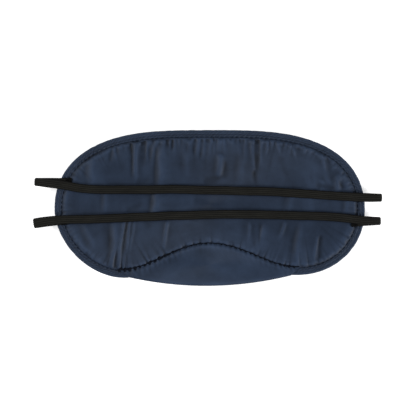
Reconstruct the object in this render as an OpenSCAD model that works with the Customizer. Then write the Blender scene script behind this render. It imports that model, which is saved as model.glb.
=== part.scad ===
// Padded sleep mask, lying face down: +X across the mask, +Y towards the forehead,
// +Z out of the side that meets the face. The origin is on the plane under the front
// cover, at the middle of the panel. All sizes are in millimetres.

/* [Panel outline] */
// Width of the mask from edge to edge
mask_w = 204.2; // [196:0.2:214]
// Height of the brow edge above the widest line
brow_h = 52; // [48:0.5:56]
// Depth of the cheek lobes below the widest line
cheek_h = 44.4; // [41:0.2:47]
// Depth by which the left lobe hangs lower than that, and the right one less low
cheek_skew = 0.9; // [0:0.1:1.5]
// Distance of the widest line below the middle of the panel
waist_drop = 4; // [2:0.5:6]
// Distance of each cheek lobe's lowest point from the middle
lobe_x = 57; // [55:0.5:59]
// Height of the nose arch above the cheek lobes
arch_h = 16.4; // [14:0.2:19]

/* [Padding] */
// Thickness of each satin cover
satin_t = 0.35; // [0.25:0.05:0.45]
// Thickness of the foam in the middle of the pad
foam_t = 3.2; // [2.6:0.1:3.8]
// Thickness of the foam where the edge seam squeezes it
foam_rim_t = 0.7; // [0.5:0.05:0.9]
// Thickness of the light-blocking liner
liner_t = 0.3; // [0.2:0.05:0.4]
// Height of the squeezed rim above the plane of the front cover
rim_lift = 1.2; // [1:0.1:1.5]
// Width of the slope from the binding to the full thickness
slope_w = 8.2; // [6:0.2:10]

/* [Edge binding] */
// Width of the binding tape on each side
binding_w = 5.5; // [4.5:0.1:6]
// Thickness of the binding tape
binding_t = 0.45; // [0.35:0.05:0.5]
// Distance of the stitch line from the binding's inner edge
stitch_inset = 0.7; // [0.5:0.1:1]
// Distance from one stitch to the next
stitch_pitch = 3.4; // [3.2:0.1:6]
// Length of one stitch
stitch_l = 2.4; // [1.5:0.1:2.6]

/* [Nose flap] */
// Distance of the flap's lower edge below the middle of the panel
flap_drop = 54.5; // [51:0.5:56]
// Distance of the crease below the middle of the panel
crease_drop = 46; // [45.5:0.1:46.5]
// Half of the flap's width at the seam
flap_half_w = 59; // [57:0.5:60]
// Radius of the flap's lower edge
flap_edge_r = 230; // [210:1:250]
// Distance by which the lowest point of that edge lies to the left of the middle
flap_skew = 2.4; // [0:0.1:3]
// Thickness of each satin layer of the flap
flap_satin_t = 0.3; // [0.2:0.05:0.35]
// Thickness of the wadding inside the flap
flap_wadding_t = 0.8; // [0.5:0.05:1]

/* [Straps] */
// Width of the elastic
strap_w = 5.7; // [4.6:0.1:6]
// Thickness of the elastic
strap_t = 1; // [0.9:0.05:1.1]
// Gap between the two layers of a folded end
fold_gap = 1; // [0.8:0.1:1.2]
// Number of rubber threads inside each strap
thread_n = 6; // [3:1:6]
// Diameter of one rubber thread
thread_d = 0.42; // [0.3:0.02:0.44]

/* [Hidden] */

// Gap left between two plies that lie on each other
ply_gap = 0.05;
// Height of a sewing thread that lies on the cloth
thread_h = 0.18;
// Width of a sewing thread
thread_w = 0.5;

half_w = mask_w / 2;
waist_y = -waist_drop;
lobe_w = half_w - lobe_x;
brow_powers = [3.2, 2.15];
// How full the curve of the left lobe is, and of the right one
lobe_powers = [1.82, 2.08];
arch_power = 1.0;

// Points round the outline, a multiple of four
outline_n = 88;

ply_t = [satin_t, foam_t, liner_t, satin_t];
ply_rim_t = [satin_t, foam_rim_t, liner_t, satin_t];

binding_low = rim_lift - ply_gap - binding_t;
binding_high = ply_floor(4, ply_rim_t) + rim_lift + binding_t;
// Underside of what is sewn on top of the binding
sewn_z = binding_high + thread_h + 0.07;

flap_h = 2 * flap_satin_t + flap_wadding_t + 2 * ply_gap;
flap_top = sewn_z + flap_h;
crease_y = -crease_drop;
// Half of the slit between the fixed part of the flap and its leaf
crease_gap = 0.08;

strap_low_z = sewn_z + strap_t / 2;
fold_r = (strap_t + fold_gap) / 2;
strap_run_z = strap_low_z + 2 * fold_r;

// Centre line of each strap where it crosses the back, from the left fold to the right one
upper_route = [
  [-113.7, 13.8], [-98, 11.9], [-76, 9], [-20, 8.7], [32, 7.6], [80, 4.9], [101, 3.6], [111.8, 3.5],
];
lower_route = [
  [-114.4, -13.3], [-102, -11.3], [-78, -10.5], [-30, -8.5], [17, -7.4], [74, -8.8], [100, -11.3],
  [111, -11.8],
];
// Direction in which each sewn layer runs in from its fold, and its length
upper_left_sewn = [-0.8, 23];
upper_right_sewn = [178.7, 17];
lower_left_sewn = [5.8, 21];
lower_right_sewn = [182.8, 18];
// Spans of each strap's curve between two points of its route
route_steps = 3;

// ---- Outline of the panel ----

function brow_y(x) =
  waist_y + brow_h * pow(max(0, 1 - pow(abs(x) / half_w, brow_powers[0])), 1 / brow_powers[1]);

function lobe_h(x) = cheek_h - cheek_skew * sign(x);

function lobe_y(x) =
  let (power = lobe_powers[x < 0 ? 0 : 1])
    waist_y - lobe_h(x) * pow(max(0, 1 - pow((abs(x) - lobe_x) / lobe_w, power)), 1 / power);

function arch_y(x) =
  let (rise = arch_h + lobe_h(x) - cheek_h)
    waist_y - lobe_h(x) + rise * (1 + cos(180 * pow(abs(x) / lobe_x, arch_power))) / 2;

function cheek_y(x) = abs(x) < lobe_x ? arch_y(x) : lobe_y(x);

// Anticlockwise from the right end: the brow first, then the cheeks and the nose arch
outline = [
  for (k = [0 : outline_n - 1])
    let (a = 360 * k / outline_n, x = half_w * cos(a))
      [x, a < 180 ? brow_y(x) : cheek_y(x)]
];

function left_of(v) = [-v.y, v.x] / norm(v);

inward = [
  for (k = [0 : outline_n - 1])
    left_of(outline[(k + 1) % outline_n] - outline[(k + outline_n - 1) % outline_n])
];

// The outline moved inwards by a distance
function inset(d) = [for (k = [0 : outline_n - 1]) outline[k] + d * inward[k]];

function raised(loop, z) = [for (p = loop) [p.x, p.y, z]];

// ---- Places along an open or closed line of points ----

function distances(line) = [
  for (i = 0, s = 0; i < len(line); s = s + norm(line[min(i + 1, len(line) - 1)] - line[i]), i = i + 1) s
];

function place(line, along, s) = [
  lookup(s, [for (i = [0 : len(line) - 1]) [along[i], line[i].x]]),
  lookup(s, [for (i = [0 : len(line) - 1]) [along[i], line[i].y]])
];

// Evenly spaced [point, direction] pairs
function spots(line, pitch) =
  let (
    along = distances(line),
    total = along[len(along) - 1],
    count = floor(total / pitch),
    step = total / count
  ) [
    for (i = [0 : count - 1])
      let (
        s = (i + 0.5) * step,
        ahead = place(line, along, s + 0.3) - place(line, along, s - 0.3)
      ) [place(line, along, s), ahead / norm(ahead)]
  ];

// ---- Solids swept from rings of points ----

// Joins rings of equal length. Each ring turns anticlockwise about the way it moves.
// The caps are polygons with one edge from each half of the ring, or a single face.
module sweep(rings, closed = false, split_caps = false) {
  n = len(rings[0]);
  m = len(rings);
  sides = [
    for (i = [0 : (closed ? m : m - 1) - 1], j = [0 : n - 1])
      let (
        a = i * n + j,
        b = i * n + (j + 1) % n,
        c = ((i + 1) % m) * n + (j + 1) % n,
        d = ((i + 1) % m) * n + j
      ) each [[a, c, b], [a, d, c]]
  ];
  strips = [
    [0, 1, n - 1],
    for (k = [1 : n / 2 - 2]) [k, k + 1, n - k - 1, n - k],
    [n / 2 - 1, n / 2, n / 2 + 1]
  ];
  cap = split_caps ? strips : [[for (j = [0 : n - 1]) j]];
  first = [for (f = cap) f];
  last = [for (f = cap) [for (j = [len(f) - 1 : -1 : 0]) (m - 1) * n + f[j]]];
  polyhedron(
    points = [for (ring = rings) each ring],
    faces = closed ? sides : concat(sides, first, last)
  );
}

// Separate flat bars, one for each [point, direction], with their undersides at z
module bars(places, l, w, z, h) {
  corners = [[-1, -1], [1, -1], [1, 1], [-1, 1]];
  faces = [[0, 1, 2, 3], [7, 6, 5, 4], [0, 4, 5, 1], [1, 5, 6, 2], [2, 6, 7, 3], [3, 7, 4, 0]];
  polyhedron(
    points = [
      for (place = places, top = [0, 1], c = corners)
        let (p = place[0] + place[1] * c.x * l / 2 + left_of(place[1]) * c.y * w / 2)
          [p.x, p.y, z + top * h]
    ],
    faces = [for (i = [0 : len(places) - 1], f = faces) [for (j = f) 8 * i + j]]
  );
}

// ---- The padded panel ----

function ply_floor(i, t) = i == 0 ? 0 : ply_floor(i - 1, t) + t[i - 1] + ply_gap;

// [inset, share of the way from the squeezed rim to the full thickness]
ply_stations = [
  [binding_t + 0.15, 0],
  [binding_w + 0.3, 0],
  [binding_w + 0.3 + 0.4 * slope_w, 0.68],
  [binding_w + 0.3 + slope_w, 1]
];

function ply_ring(i, station, top) =
  let (
    rim = rim_lift + ply_floor(i, ply_rim_t) + top * ply_rim_t[i],
    full = ply_floor(i, ply_t) + top * ply_t[i]
  ) raised(inset(station[0]), rim + (full - rim) * station[1]);

module ply(i) {
  sweep(concat(
    [for (s = [3 : -1 : 0]) ply_ring(i, ply_stations[s], 0)],
    [for (s = [0 : 3]) ply_ring(i, ply_stations[s], 1)]
  ), split_caps = true);
}

module front_cover() {
  color([0.16, 0.19, 0.26]) intersection() {
    ply(0);
    translate([-half_w, -half_w, 0]) cube([mask_w, mask_w, 2 * rim_lift]);
  }
}

module foam_pad() {
  color([0.85, 0.85, 0.82]) ply(1);
}

module blackout_liner() {
  color([0.08, 0.08, 0.09]) ply(2);
}

module back_cover() {
  color([0.18, 0.22, 0.29]) ply(3);
}

// ---- Edge binding: a tape folded round the rim ----

binding_profile = [
  [0.3, binding_low],
  [binding_w, binding_low],
  [binding_w, binding_low + binding_t],
  [binding_t, binding_low + binding_t],
  [binding_t, binding_high - binding_t],
  [binding_w, binding_high - binding_t],
  [binding_w, binding_high],
  [0.3, binding_high],
  [0, binding_high - 0.3],
  [0, binding_low + 0.3]
];

module edge_binding() {
  color([0.14, 0.18, 0.24]) sweep([
    for (k = [0 : outline_n - 1]) [
      for (q = binding_profile)
        let (p = outline[k] + q[0] * inward[k]) [p.x, p.y, q[1]]
    ]
  ], closed = true);
}

stitch_loop = inset(binding_w - stitch_inset);
stitch_spots = spots([each stitch_loop, stitch_loop[0]], stitch_pitch);

function under_flap(p) = abs(p.x) < flap_half_w + stitch_pitch && p.y < waist_y;

module binding_stitches() {
  open_spots = [for (s = stitch_spots) if (!under_flap(s[0])) s];
  color([0.07, 0.08, 0.11]) {
    bars(open_spots, stitch_l, thread_w, binding_high + 0.02, thread_h);
    bars(stitch_spots, stitch_l, thread_w, binding_low - 0.02 - thread_h, thread_h);
  }
}

// ---- Nose flap: two layers of satin with wadding between, creased across its foot ----

flap_seam = [
  for (k = [outline_n / 2 : outline_n - 1])
    let (p = outline[k] + (binding_w - 0.2) * inward[k]) [p.x, p.y]
];

function seam_y(x) = lookup(x, flap_seam);

function flap_edge_y(x) = -flap_drop + flap_edge_r - sqrt(pow(flap_edge_r, 2) - pow(x + flap_skew, 2));

// Where the flap's lower edge meets a level, to the right (side 1) or to the left (side -1)
function flap_edge_x(y, side) =
  side * sqrt(pow(flap_edge_r, 2) - pow(flap_edge_r - flap_drop - y, 2)) - flap_skew;

// The part above the crease, between the arch seam and the cheek lobes
module flap_base_shape(margin) {
  w = flap_half_w - margin;
  steps = 32;
  polygon([
    for (i = [0 : steps]) let (x = w * (2 * i / steps - 1)) [x, seam_y(x) - margin],
    [w, crease_y + crease_gap],
    [-w, crease_y + crease_gap]
  ]);
}

// The free leaf below the crease
module flap_leaf_shape(margin) {
  foot = crease_y - crease_gap;
  right = min(flap_half_w, flap_edge_x(foot - margin, 1)) - 2 * margin;
  left = max(-flap_half_w, flap_edge_x(foot - margin, -1)) + 2 * margin;
  steps = 24;
  polygon([
    [right, foot],
    [left, foot],
    for (i = [1 : steps - 1]) let (x = left + (right - left) * i / steps) [x, flap_edge_y(x) + margin]
  ]);
}

flap_front_z = sewn_z;
flap_wadding_z = flap_front_z + flap_satin_t + ply_gap;
flap_lining_z = flap_wadding_z + flap_wadding_t + ply_gap;
// Distance of the wadding's edge from the edge of the satin
wadding_margin = 0.6;

module flap_front_base() {
  color([0.17, 0.21, 0.28]) translate([0, 0, flap_front_z])
    linear_extrude(flap_satin_t) flap_base_shape(0);
}

module flap_wadding_base() {
  color([0.85, 0.85, 0.82]) translate([0, 0, flap_wadding_z])
    linear_extrude(flap_wadding_t) flap_base_shape(wadding_margin);
}

module flap_lining_base() {
  color([0.19, 0.23, 0.3]) translate([0, 0, flap_lining_z])
    linear_extrude(flap_satin_t) flap_base_shape(0);
}

module flap_front_leaf() {
  color([0.17, 0.21, 0.28]) translate([0, 0, flap_front_z])
    linear_extrude(flap_satin_t) flap_leaf_shape(0);
}

module flap_wadding_leaf() {
  color([0.85, 0.85, 0.82]) translate([0, 0, flap_wadding_z])
    linear_extrude(flap_wadding_t) flap_leaf_shape(wadding_margin);
}

module flap_lining_leaf() {
  color([0.19, 0.23, 0.3]) translate([0, 0, flap_lining_z])
    linear_extrude(flap_satin_t) flap_leaf_shape(0);
}

module flap_stitches() {
  steps = 32;
  w = flap_half_w - stitch_l;
  line = [for (i = [0 : steps]) let (x = w * (2 * i / steps - 1)) [x, seam_y(x) - stitch_inset]];
  color([0.07, 0.08, 0.11]) bars(spots(line, stitch_pitch), stitch_l, thread_w, flap_top + 0.02, thread_h);
}

// ---- Elastic straps ----

// Cross-section of the elastic: a flat bar with its corners taken off
function slab(w, t) =
  let (x = w / 2, y = t / 2, c = 0.3 * t) [
    [x, c - y], [x, y - c], [x - c, y], [c - x, y], [-x, y - c], [-x, c - y], [c - x, -y], [x - c, -y]
  ];

function round_section(d) = [for (k = [0 : 5]) d / 2 * [cos(60 * k), sin(60 * k)]];

// Point at share t of the span that starts at p[i], on a smooth curve through all of p
function on_curve(p, i, t) =
  let (a = p[max(i - 1, 0)], b = p[i], c = p[i + 1], d = p[min(i + 2, len(p) - 1)])
    (2 * b + (c - a) * t + (2 * a - 5 * b + 4 * c - d) * t * t + (3 * b - a - 3 * c + d) * t * t * t) / 2;

function curve(p) = [
  for (i = [0 : len(p) - 2], k = [0 : route_steps - 1]) on_curve(p, i, k / route_steps),
  p[len(p) - 1]
];

// Rings of a section carried along a route at the height of the run, moved aside by a distance
function run_rings(route, section, aside = 0) =
  let (line = curve(route), last = len(line) - 1) [
    for (i = [0 : last])
      let (side = left_of(line[min(i + 1, last)] - line[max(i - 1, 0)]))
        [for (q = section) let (p = line[i] + side * (q.x + aside)) [p.x, p.y, strap_run_z + q.y]]
  ];

function backwards(list) = [for (i = [len(list) - 1 : -1 : 0]) list[i]];

// The knitted tube round the rubber threads
module sheath(route) {
  outer = run_rings(route, slab(strap_w, strap_t));
  inner = run_rings(route, slab(strap_w - 0.6, strap_t - 0.5));
  color([0.1, 0.1, 0.1]) sweep(concat(outer, backwards(inner)), closed = true);
}

module threads(route) {
  reach = (strap_w - 0.6 - thread_d - 0.15) / 2;
  color([0.55, 0.53, 0.5]) for (i = [0 : thread_n - 1]) {
    sweep(run_rings(route, round_section(thread_d), reach * (2 * i / (thread_n - 1) - 1)));
  }
}

// Slit between a folded end and the run of the strap
end_gap = 0.1;
fold_steps = 8;

// A sewn end: from under the run out to the fold, and round it to the start of the run.
// fold is the place of the fold's axis, run_a the way the run leaves it, sewn the sewn layer.
module folded_end(fold, run_a, sewn) {
  stations = concat(
    [for (s = [1, 0.5]) [-90, s * sewn[1], sewn[0]]],
    [
      for (i = [0 : fold_steps])
        let (t = i / fold_steps) [180 * t - 90, 0, sewn[0] + (run_a - sewn[0]) * t]
    ]
  );
  color([0.1, 0.1, 0.1]) sweep([
    for (s = stations)
      let (
        way = [cos(s[2]), sin(s[2]), 0],
        side = [-sin(s[2]), cos(s[2]), 0],
        out = -way * cos(s[0]) + [0, 0, sin(s[0])],
        p = [fold.x, fold.y, strap_low_z + fold_r] + way * (s[1] - end_gap) + out * fold_r
      ) [for (q = slab(strap_w, strap_t)) p + side * q.x + out * q.y]
  ]);
}

// The way in which a route sets out from its first point
function first_way(route) = let (line = curve(route), v = line[1] - line[0]) atan2(v.y, v.x);

function turn_near(a, b) = a - 360 * round((a - b) / 360);

module left_end(route, sewn) {
  folded_end(route[0], first_way(route), sewn);
}

module right_end(route, sewn) {
  folded_end(route[len(route) - 1], turn_near(first_way(backwards(route)), sewn[0]), sewn);
}

// Rows of short stitches across each sewn layer, over the binding
bartack_rows = 5;
bartack_pitch = 0.7;
// Distance of the bartack's middle from the end of the sewn layer
bartack_setback = 4;

function bartack_spots(fold, sewn) = [
  for (i = [0 : bartack_rows - 1])
    let (
      way = [cos(sewn[0]), sin(sewn[0])],
      s = sewn[1] - bartack_setback + (i - (bartack_rows - 1) / 2) * bartack_pitch
    ) [fold + way * s, left_of(way)]
];

module strap_bartacks() {
  places = concat(
    bartack_spots(upper_route[0], upper_left_sewn),
    bartack_spots(upper_route[len(upper_route) - 1], upper_right_sewn),
    bartack_spots(lower_route[0], lower_left_sewn),
    bartack_spots(lower_route[len(lower_route) - 1], lower_right_sewn)
  );
  color([0.05, 0.05, 0.05]) bars(places, strap_w - 1, 0.4, strap_low_z + strap_t / 2 + 0.02, thread_h);
}

module upper_strap_left_end() {
  left_end(upper_route, upper_left_sewn);
}

module upper_strap_right_end() {
  right_end(upper_route, upper_right_sewn);
}

module lower_strap_left_end() {
  left_end(lower_route, lower_left_sewn);
}

module lower_strap_right_end() {
  right_end(lower_route, lower_right_sewn);
}

module upper_strap_sheath() {
  sheath(upper_route);
}

module upper_strap_threads() {
  threads(upper_route);
}

module lower_strap_sheath() {
  sheath(lower_route);
}

module lower_strap_threads() {
  threads(lower_route);
}

front_cover();
foam_pad();
blackout_liner();
back_cover();
edge_binding();
binding_stitches();
flap_front_base();
flap_wadding_base();
flap_lining_base();
flap_stitches();
flap_front_leaf();
flap_wadding_leaf();
flap_lining_leaf();
upper_strap_left_end();
upper_strap_right_end();
lower_strap_left_end();
lower_strap_right_end();
strap_bartacks();
upper_strap_sheath();
upper_strap_threads();
lower_strap_sheath();
lower_strap_threads();
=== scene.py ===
"""A padded satin sleep mask lying face down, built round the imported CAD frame."""
import math

import bmesh
import bpy
import numpy as np
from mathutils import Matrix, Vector
from mathutils.geometry import delaunay_2d_cdt


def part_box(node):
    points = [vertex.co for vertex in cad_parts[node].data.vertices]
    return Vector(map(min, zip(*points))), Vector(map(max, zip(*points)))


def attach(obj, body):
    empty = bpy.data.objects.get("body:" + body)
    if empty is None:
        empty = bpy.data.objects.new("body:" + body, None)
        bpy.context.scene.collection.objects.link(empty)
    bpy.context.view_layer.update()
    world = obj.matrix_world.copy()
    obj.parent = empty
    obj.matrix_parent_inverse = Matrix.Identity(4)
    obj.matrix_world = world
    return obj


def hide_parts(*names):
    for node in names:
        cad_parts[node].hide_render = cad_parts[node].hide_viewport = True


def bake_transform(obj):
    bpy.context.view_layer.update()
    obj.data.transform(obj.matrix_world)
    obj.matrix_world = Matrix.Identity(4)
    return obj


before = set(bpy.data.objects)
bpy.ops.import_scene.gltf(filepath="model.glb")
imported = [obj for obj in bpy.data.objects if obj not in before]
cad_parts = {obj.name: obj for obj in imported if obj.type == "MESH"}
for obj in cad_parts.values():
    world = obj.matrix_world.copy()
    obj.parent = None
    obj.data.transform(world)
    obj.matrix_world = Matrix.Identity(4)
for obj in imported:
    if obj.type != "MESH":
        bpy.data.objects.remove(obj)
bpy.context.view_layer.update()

MM = 0.001
BODY = "mask"


def box_mm(node):
    """A CAD node's lowest and highest corners, in millimetres."""
    low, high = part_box(node)
    return np.array(low) / MM, np.array(high) / MM


# ---- Sizes, from the frame where it has them, in millimetres ----

RIM_LOW, RIM_HIGH = box_mm("edge_binding")
HALF_W = RIM_HIGH[0]
# Height at which the mask is widest, where the brow curve meets the cheek curve
WAIST_Y = -4.0
BROW_H = RIM_HIGH[1] - WAIST_Y
BROW_POWERS = (3.2, 2.15)
# The left cheek lobe hangs a little lower than the right one, and its curve is less full
CHEEK_SKEW = 0.9
CHEEK_H = WAIST_Y - RIM_LOW[1] - CHEEK_SKEW
LOBE_X = 57.0
ARCH_H = 16.4
LOBE_POWERS = (1.82, 2.08)
BINDING_W = 5.5
BINDING_T = 0.45
# Added to the mark that says how far in a point of the binding lies, on its underside
UNDERSIDE_MARK = 20.0
STITCH_INSET = BINDING_W - 0.75
STITCH_PITCH = 3.3
PLY_T = 0.35

# Air left between neighbouring plies at the rim
AIR = 0.05

FRONT_LOW = box_mm("front_cover")[0][2]
LINER_LOW, LINER_HIGH = (corner[2] for corner in box_mm("blackout_liner"))
FOAM_HIGH = box_mm("foam_pad")[1][2]
COVER_TOP = box_mm("back_cover")[1][2]
COVER_RIM = RIM_HIGH[2] - BINDING_T - AIR
FRONT_RIM = RIM_LOW[2] + BINDING_T + AIR

FLAP_LOW = box_mm("flap_front_base")[0][2]
FLAP_HIGH = box_mm("flap_lining_base")[1][2]
FLAP_HALF_W = 59.0
FLAP_DROP = -box_mm("flap_lining_leaf")[0][1]
FLAP_EDGE_R = 230.0
FLAP_SKEW = 2.4

STRAP_W = 5.7
STRAP_T = 1.0
RUN_Z = box_mm("upper_strap_sheath")[1][2] - STRAP_T / 2
SEWN_Z = box_mm("upper_strap_left_end")[0][2] + STRAP_T / 2
FOLD_R = (RUN_Z - SEWN_Z) / 2
# Each strap's middle line, from the axis of one fold to the axis of the other
ROUTES = {
    "upper": [
        (-113.7, 13.8), (-98, 11.9), (-76, 9), (-20, 8.7), (32, 7.6), (80, 4.9), (101, 3.6),
        (111.8, 3.5),
    ],
    "lower": [
        (-114.4, -13.3), (-102, -11.3), (-78, -10.5), (-30, -8.5), (17, -7.4), (74, -8.8),
        (100, -11.3), (111, -11.8),
    ],
}
# Direction in degrees in which each sewn layer runs in from its fold, and its length
SEWN = {
    "upper_left": (-0.8, 23.0), "upper_right": (178.7, 17.0),
    "lower_left": (5.8, 21.0), "lower_right": (182.8, 18.0),
}

# ---- Camera: straight down on the mask ----

VIEW_CENTRE = (-1.1, -3.3)
VIEW_W = 272.9
CAMERA_H = 1500.0
SENSOR = 36.0


def settle(thing, **values):
    """Sets several properties of a thing."""
    for name, value in values.items():
        setattr(thing, name, value)


def make_camera():
    data = bpy.data.cameras.new("camera")
    lens = SENSOR * (CAMERA_H - RUN_Z) / VIEW_W
    settle(data, sensor_width=SENSOR, lens=lens, clip_start=0.05, clip_end=20.0)
    camera = bpy.data.objects.new("camera", data)
    camera.location = [c * MM for c in (*VIEW_CENTRE, CAMERA_H)]
    bpy.context.collection.objects.link(camera)
    bpy.context.scene.camera = camera


make_camera()

# ---- Outline of the panel, by formula ----


def brow_y(x):
    reach = np.clip(1 - np.power(np.abs(x) / HALF_W, BROW_POWERS[0]), 0, 1)
    return WAIST_Y + BROW_H * np.power(reach, 1 / BROW_POWERS[1])


def cheek_y(x):
    side = np.abs(x)
    depth = CHEEK_H - CHEEK_SKEW * np.sign(x)
    power = np.where(x < 0, *LOBE_POWERS)
    reach = np.clip((side - LOBE_X) / (HALF_W - LOBE_X), 0, 1)
    lobe = WAIST_Y - depth * np.power(1 - np.power(reach, power), 1 / power)
    turn = np.pi * np.clip(side / LOBE_X, 0, 1)
    arch = WAIST_Y - depth + (ARCH_H + depth - CHEEK_H) * (1 + np.cos(turn)) / 2
    return np.where(side < LOBE_X, arch, lobe)


def even(points, count, closed):
    """Points spaced evenly along a line."""
    line = np.vstack([points, points[:1]]) if closed else np.asarray(points, float)
    along = np.concatenate([[0], np.cumsum(np.linalg.norm(np.diff(line, axis=0), axis=1))])
    s = np.linspace(0, along[-1], count, endpoint=not closed)
    return np.stack([np.interp(s, along, line[:, i]) for i in range(line.shape[1])], axis=1)


def make_outline(count, samples=6000):
    a = np.linspace(0, 2 * np.pi, samples, endpoint=False)
    x = HALF_W * np.cos(a)
    return even(np.stack([x, np.where(a < np.pi, brow_y(x), cheek_y(x))], axis=1), count, True)


def unit(vectors):
    return vectors / np.linalg.norm(vectors, axis=-1, keepdims=True)


def left(way):
    """Flat directions turned a quarter turn to the left."""
    return np.stack([-way[..., 1], way[..., 0]], axis=-1)


def heading(degrees):
    return np.array([math.cos(math.radians(degrees)), math.sin(math.radians(degrees))])


def left_normals(ring):
    return unit(left(np.roll(ring, -1, axis=0) - np.roll(ring, 1, axis=0)))


OUTLINE = make_outline(1440)
INWARD = left_normals(OUTLINE)
PERIMETER = float(np.linalg.norm(OUTLINE - np.roll(OUTLINE, 1, axis=0), axis=1).sum())


def inset(d):
    return OUTLINE + INWARD * d


def rim_place(points, batch=2000):
    """Each point's distance in from the outline, and its place along it in millimetres."""
    depth = np.empty(len(points))
    along = np.empty(len(points))
    for i in range(0, len(points), batch):
        some = slice(i, i + batch)
        square = ((points[some, None, :2] - OUTLINE[None]) ** 2).sum(axis=2)
        depth[some] = np.sqrt(square.min(axis=1))
        along[some] = square.argmin(axis=1) * PERIMETER / len(OUTLINE)
    return depth, along


# ---- Smooth noise and ramps ----


def smooth(t):
    t = np.clip(t, 0, 1)
    return t * t * (3 - 2 * t)


def wave_noise(x, y, seed, length_x, length_y, octaves=5):
    """Smooth seeded noise between about -1 and 1, with its own wavelengths along X and Y."""
    rng = np.random.default_rng(seed)
    waves, finer, fainter = 5, 1.6, 1.5
    total = np.zeros_like(x)
    for octave in range(octaves):
        for _ in range(waves):
            turn = rng.uniform(-0.45, 0.45)
            size = 2 * np.pi * rng.uniform(0.7, 1.4) * finer ** octave
            phase = rng.uniform(0, 2 * np.pi)
            slant = rng.uniform(-1, 1)
            across = x * math.cos(turn) + y * math.sin(turn) * length_x / length_y
            down = y * math.cos(turn) / length_y
            total += np.sin(size * (across / length_x + slant * down) + phase) / fainter ** octave
    return total / waves


# ---- Mesh helpers: everything is worked out in millimetres and stored in metres ----

SHARP_ANGLE = 55


def plain_object(name, verts, faces, scale=MM):
    mesh = bpy.data.meshes.new(name)
    mesh.from_pydata((np.asarray(verts) * scale).tolist(), [], [tuple(int(i) for i in f) for f in faces])
    thing = bpy.data.objects.new(name, mesh)
    bpy.context.collection.objects.link(thing)
    return thing


def new_piece(name, verts, faces, marks):
    """A smooth mesh object. marks are the point coordinates, in mm, that its material reads."""
    piece = plain_object(name, verts, faces)
    mesh = piece.data
    mesh.validate()
    mesh.polygons.foreach_set("use_smooth", [True] * len(mesh.polygons))
    mesh.set_sharp_from_angle(angle=math.radians(SHARP_ANGLE))
    layer = mesh.attributes.new("cloth_mm", "FLOAT_VECTOR", "POINT")
    layer.data.foreach_set("vector", np.asarray(marks, np.float32).ravel())
    return piece


def tube(rings, closed=False):
    """Faces that join rings of equal length; an open tube is capped by a fan round a middle point."""
    m, n = rings.shape[:2]
    verts = rings.reshape(-1, 3)
    spans = m if closed else m - 1
    j = np.arange(n)
    faces = []
    for i in range(spans):
        a, b = i * n, ((i + 1) % m) * n
        faces += np.stack([a + j, a + (j + 1) % n, b + (j + 1) % n, b + j], axis=1).tolist()
    if not closed:
        verts = np.vstack([verts, rings[0].mean(axis=0), rings[-1].mean(axis=0)])
        faces += [(m * n, (k + 1) % n, k) for k in range(n)]
        last = (m - 1) * n
        faces += [(m * n + 1, last + k, last + (k + 1) % n) for k in range(n)]
    return verts, faces


def joined(parts):
    """One vertex list, face list and mark list from several."""
    verts, faces, marks, start = [], [], [], 0
    for v, f, m in parts:
        verts.append(v)
        marks.append(m)
        faces += [[i + start for i in face] for face in f]
        start += len(v)
    return np.vstack(verts), faces, np.vstack(marks)


def flat_plan(depth, cell):
    """A flat mesh of near-square cells that fills the outline moved in by depth: points and faces."""
    rim = even(inset(depth), int(PERIMETER / cell), True)
    xs = np.arange(-HALF_W, HALF_W, cell)
    ys = np.arange(RIM_LOW[1], RIM_HIGH[1], cell)
    grid = np.stack(np.meshgrid(xs, ys), axis=-1).reshape(-1, 2)
    inside = (grid[:, 1] < brow_y(grid[:, 0])) & (grid[:, 1] > cheek_y(grid[:, 0]))
    grid = grid[inside]
    grid = grid[rim_place(grid)[0] > depth + 0.6 * cell]
    points = np.vstack([rim, grid])
    loop = list(range(len(rim)))
    out = delaunay_2d_cdt([Vector(p) for p in points], [], [loop], 1, 1e-5)
    flat = bmesh.new()
    corners = [flat.verts.new((p.x, p.y, 0)) for p in out[0]]
    for face in out[2]:
        flat.faces.new([corners[i] for i in face])
    bmesh.ops.join_triangles(
        flat, faces=flat.faces[:], angle_face_threshold=3.2, angle_shape_threshold=0.9,
    )
    flat.verts.index_update()
    points = np.array([v.co[:2] for v in flat.verts])
    faces = [[v.index for v in f.verts] for f in flat.faces]
    flat.free()
    return points, faces


def border_edges(faces):
    """The edges that one face alone uses, each as that face runs along it."""
    seen = {}
    for f in faces:
        for a, b in zip(f, f[1:] + f[:1]):
            key = (min(a, b), max(a, b))
            seen[key] = None if key in seen else (a, b)
    return [edge for edge in seen.values() if edge]


def slab_piece(name, points, faces, low, high, depth):
    """A closed solid between two heights over a flat plan, marked with its plan and a depth."""
    count = len(points)
    verts = np.vstack([np.column_stack([points, high]), np.column_stack([points, low])])
    under = [[i + count for i in reversed(f)] for f in faces]
    sides = [[b, a, a + count, b + count] for a, b in border_edges(faces)]
    marks = np.tile(np.column_stack([points, depth]), (2, 1))
    return new_piece(name, verts, faces + under + sides, marks)


# ---- Heights of the padded panel ----

RIM_FLAT = BINDING_W + 0.3
SLOPE_W = 8.2
STATIONS = [0, RIM_FLAT, RIM_FLAT + 0.4 * SLOPE_W, RIM_FLAT + SLOPE_W]
SHARES = [0, 0, 0.68, 1]


def pad_share(depth):
    """Share of the way from the squeezed rim to the full thickness."""
    return np.interp(depth, STATIONS, SHARES)


def level(depth, rim, full):
    return rim + (full - rim) * pad_share(depth)


# ---- Materials ----


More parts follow.
